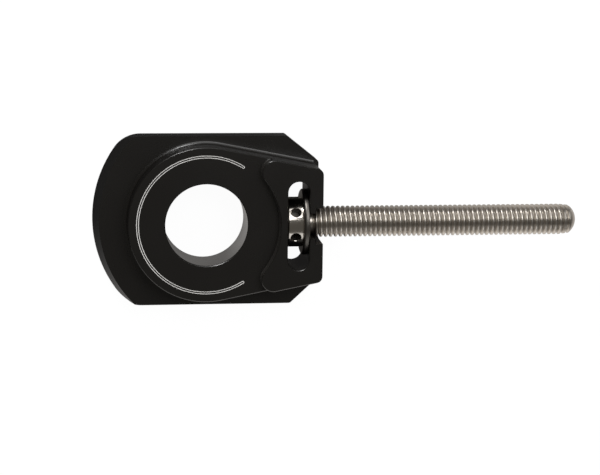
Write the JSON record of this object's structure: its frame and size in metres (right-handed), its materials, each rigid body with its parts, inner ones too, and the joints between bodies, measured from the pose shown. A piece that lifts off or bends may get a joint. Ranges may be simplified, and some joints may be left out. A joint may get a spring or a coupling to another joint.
{
  "type": "motorcycle chain adjuster",
  "caption": "Black anodised axle block with a ringed axle bore and a raised lug that holds a turning stainless adjuster screw by its head.",
  "frame": {"origin": "on the axle bore's axis, at the block's flat back face", "axes": "+X along the screw towards its tip, +Z along the axle bore out of the ring's face"},
  "size_m": [0.1223, 0.0428, 0.0167],
  "materials": {
    "block": "satin black anodised",
    "screw": "turned stainless"
  },
  "bodies": {
    "block": {"axle_block": "block"},
    "screw": {"adjuster_screw": "screw"}
  },
  "joints": [
    {"name": "screw_turn", "type": "hinge", "parent": "block", "child": "screw", "pos_m": [0.022, 0, 0.0084], "axis": [1, 0, 0], "continuous": true}
  ]
}
